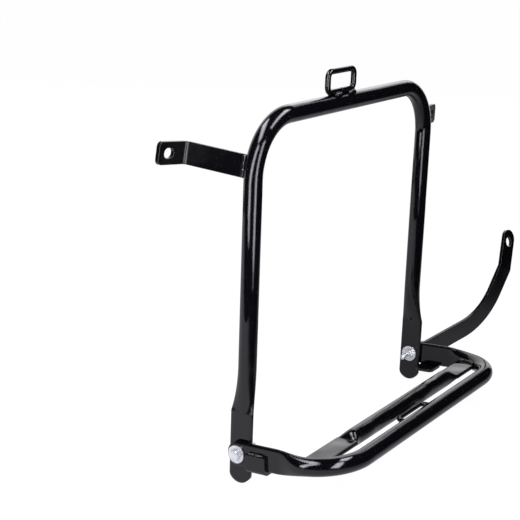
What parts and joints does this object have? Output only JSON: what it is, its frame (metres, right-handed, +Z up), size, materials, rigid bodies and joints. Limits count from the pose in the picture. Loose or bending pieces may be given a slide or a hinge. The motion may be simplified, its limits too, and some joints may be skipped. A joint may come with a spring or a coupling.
{
  "type": "pannier frame",
  "caption": "Tubular side carrier frame with an upright hoop, a fold-up tray on pivot bolts, wire strap loops, slotted fixing brackets and a curved rear stay.",
  "frame": {"origin": "centre of the slot in the front bracket's tab", "axes": "+X from the front leg to the rear leg, +Y inward to the vehicle, +Z up"},
  "size_m": [0.5597, 0.203, 0.3918],
  "materials": {
    "black_paint": "gloss",
    "zinc_plate": "satin"
  },
  "bodies": {
    "frame": {"main_hoop": "black_paint", "top_strap_loop": "black_paint", "top_loop_welds": "black_paint", "front_bracket": "black_paint", "front_bracket_welds": "black_paint", "rear_bracket": "black_paint", "rear_bracket_welds": "black_paint", "rear_stay": "black_paint", "front_pivot_bolt": "zinc_plate", "rear_pivot_bolt": "zinc_plate", "front_head_washer": "zinc_plate", "rear_head_washer": "zinc_plate", "front_nut_washer": "zinc_plate", "rear_nut_washer": "zinc_plate", "front_nut": "zinc_plate", "rear_nut": "zinc_plate"},
    "tray": {"tray_hoop": "black_paint", "tray_crossbar": "black_paint", "crossbar_welds": "black_paint", "tray_strap_loop": "black_paint", "tray_loop_welds": "black_paint", "front_stop_clip": "black_paint", "rear_stop_clip": "black_paint", "clip_welds": "black_paint"}
  },
  "joints": [
    {"name": "tray_fold", "type": "hinge", "parent": "frame", "child": "tray", "pos_m": [0.19634, -0.07941, -0.28751], "axis": [-1, 0, 0], "range_deg": [0, 55]}
  ]
}
